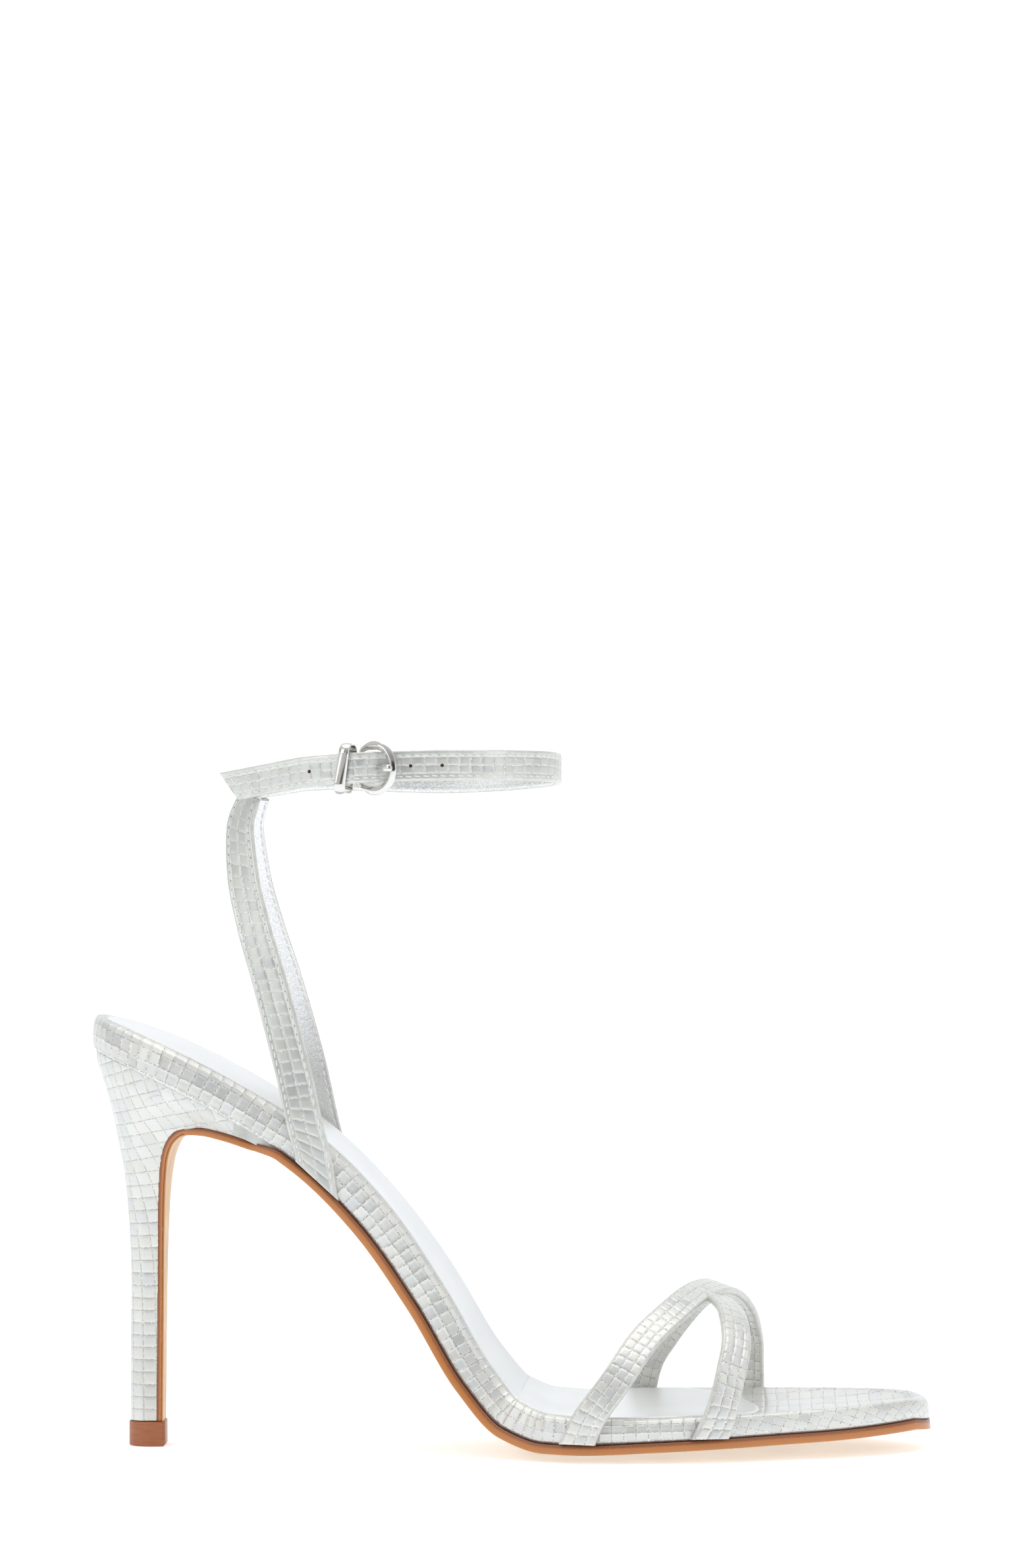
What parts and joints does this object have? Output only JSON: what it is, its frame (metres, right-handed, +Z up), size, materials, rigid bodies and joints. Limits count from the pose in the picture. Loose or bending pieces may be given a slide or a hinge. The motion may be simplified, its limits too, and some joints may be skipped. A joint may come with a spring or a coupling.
{
  "type": "strappy heeled sandal",
  "caption": "Right strappy high-heeled sandal: slim covered heel, wrapped footbed, crossed vamp straps, forked back strap and a buckled ankle strap.",
  "frame": {"origin": "on the floor, under the middle of the whole shoe's box", "axes": "+X to the toe, +Z up, -Y to the outer side of the foot, where the buckle is"},
  "size_m": [0.2132, 0.082, 0.1792],
  "materials": {
    "silver_embossed": "silver foil leather embossed with small square tiles",
    "pearl_sock": "smooth pearl silver lining leather",
    "tan_sole": "tan leather, stained and burnished edge",
    "brown_tip": "hard satin brown top piece",
    "bright_metal": "polished nickel"
  },
  "bodies": {
    "root": {"footbed": "silver_embossed", "sock_lining": "pearl_sock", "outsole": "tan_sole", "heel": "silver_embossed", "heel_tip": "brown_tip", "vamp_straps": "silver_embossed", "back_strap": "silver_embossed", "ankle_strap": "silver_embossed", "buckle_ring": "bright_metal", "buckle_prong": "bright_metal", "keeper": "bright_metal"}
  },
  "joints": []
}
